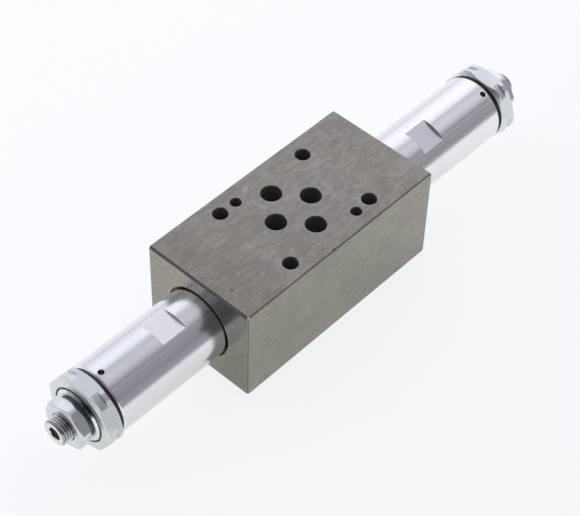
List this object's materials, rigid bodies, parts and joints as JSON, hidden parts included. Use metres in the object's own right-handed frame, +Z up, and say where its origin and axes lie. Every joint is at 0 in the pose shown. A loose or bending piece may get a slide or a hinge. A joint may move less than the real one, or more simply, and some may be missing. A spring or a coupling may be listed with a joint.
{
  "type": "hydraulic sandwich valve",
  "caption": "Hydraulic sandwich plate valve: a ported steel block with an adjustable spring-loaded poppet cartridge screwed into each end.",
  "frame": {"origin": "centre of the port pattern and of the block on its underside", "axes": "+X along the cartridges towards the port A end, +Z up out of the top port face"},
  "size_m": [0.2299, 0.046, 0.04],
  "materials": {
    "block_steel": "ground, dull grey-brown",
    "plated_tube": "bright zinc plate over turned steel",
    "plated_hexagon": "clear zinc plate",
    "turned_steel": "turned, lightly oiled",
    "hardened_steel": "ground and hardened",
    "spring_steel": "oiled spring wire, ground ends",
    "seal_rubber": "black nitrile rubber"
  },
  "bodies": {
    "valve_body": {"valve_block": "block_steel", "port_seal_p": "seal_rubber", "port_seal_t": "seal_rubber", "port_seal_a": "seal_rubber", "port_seal_b": "seal_rubber", "housing_a": "plated_tube", "housing_seal_a": "seal_rubber", "seat_a": "hardened_steel", "seat_seal_a": "seal_rubber", "spring_a": "spring_steel", "end_cap_a": "plated_hexagon", "cap_seal_a": "seal_rubber", "face_washer_a": "plated_hexagon", "housing_b": "plated_tube", "housing_seal_b": "seal_rubber", "seat_b": "hardened_steel", "seat_seal_b": "seal_rubber", "spring_b": "spring_steel", "end_cap_b": "plated_hexagon", "cap_seal_b": "seal_rubber", "face_washer_b": "plated_hexagon"},
    "relief_poppet_a": {"poppet_a": "hardened_steel"},
    "adjuster_slide_a": {"spring_plate_a": "turned_steel", "plate_seal_a": "seal_rubber"},
    "adjuster_screw_a": {"spindle_a": "turned_steel"},
    "nut_slide_a": {"nut_seal_a": "seal_rubber"},
    "nut_screw_a": {"lock_nut_a": "plated_hexagon"},
    "relief_poppet_b": {"poppet_b": "hardened_steel"},
    "adjuster_slide_b": {"spring_plate_b": "turned_steel", "plate_seal_b": "seal_rubber"},
    "adjuster_screw_b": {"spindle_b": "turned_steel"},
    "nut_slide_b": {"nut_seal_b": "seal_rubber"},
    "nut_screw_b": {"lock_nut_b": "plated_hexagon"}
  },
  "joints": [
    {"name": "poppet_lift_a", "type": "slide", "parent": "valve_body", "child": "relief_poppet_a", "axis": [1, 0, 0], "range_m": [0, 0.002], "stiffness_N_per_m": 2000, "springref_m": -0.003, "deforming": ["spring_a"]},
    {"name": "plate_travel_a", "type": "slide", "parent": "valve_body", "child": "adjuster_slide_a", "axis": [1, 0, 0], "range_m": [-0.0036, 0.0034], "deforming": ["spring_a"]},
    {"name": "spindle_turn_a", "type": "hinge", "parent": "adjuster_slide_a", "child": "adjuster_screw_a", "pos_m": [0, 0, 0.02], "axis": [1, 0, 0], "range_deg": [-1296, 1224]},
    {"name": "nut_travel_a", "type": "slide", "parent": "valve_body", "child": "nut_slide_a", "axis": [1, 0, 0], "range_m": [0, 0.0015]},
    {"name": "nut_turn_a", "type": "hinge", "parent": "nut_slide_a", "child": "nut_screw_a", "pos_m": [0, 0, 0.02], "axis": [1, 0, 0], "range_deg": [0, 540]},
    {"name": "poppet_lift_b", "type": "slide", "parent": "valve_body", "child": "relief_poppet_b", "axis": [-1, 0, 0], "range_m": [0, 0.002], "stiffness_N_per_m": 2000, "springref_m": -0.003, "deforming": ["spring_b"]},
    {"name": "plate_travel_b", "type": "slide", "parent": "valve_body", "child": "adjuster_slide_b", "axis": [-1, 0, 0], "range_m": [-0.003, 0.004], "deforming": ["spring_b"]},
    {"name": "spindle_turn_b", "type": "hinge", "parent": "adjuster_slide_b", "child": "adjuster_screw_b", "pos_m": [0, 0, 0.02], "axis": [-1, 0, 0], "range_deg": [-1080, 1440]},
    {"name": "nut_travel_b", "type": "slide", "parent": "valve_body", "child": "nut_slide_b", "axis": [-1, 0, 0], "range_m": [0, 0.0015]},
    {"name": "nut_turn_b", "type": "hinge", "parent": "nut_slide_b", "child": "nut_screw_b", "pos_m": [0, 0, 0.02], "axis": [-1, 0, 0], "range_deg": [0, 540]}
  ],
  "couplings": [
    {"joint": "spindle_turn_a", "follows": "plate_travel_a", "rad_per_m": 6283.2},
    {"joint": "nut_turn_a", "follows": "nut_travel_a", "rad_per_m": 6283.2},
    {"joint": "spindle_turn_b", "follows": "plate_travel_b", "rad_per_m": 6283.2},
    {"joint": "nut_turn_b", "follows": "nut_travel_b", "rad_per_m": 6283.2}
  ]
}
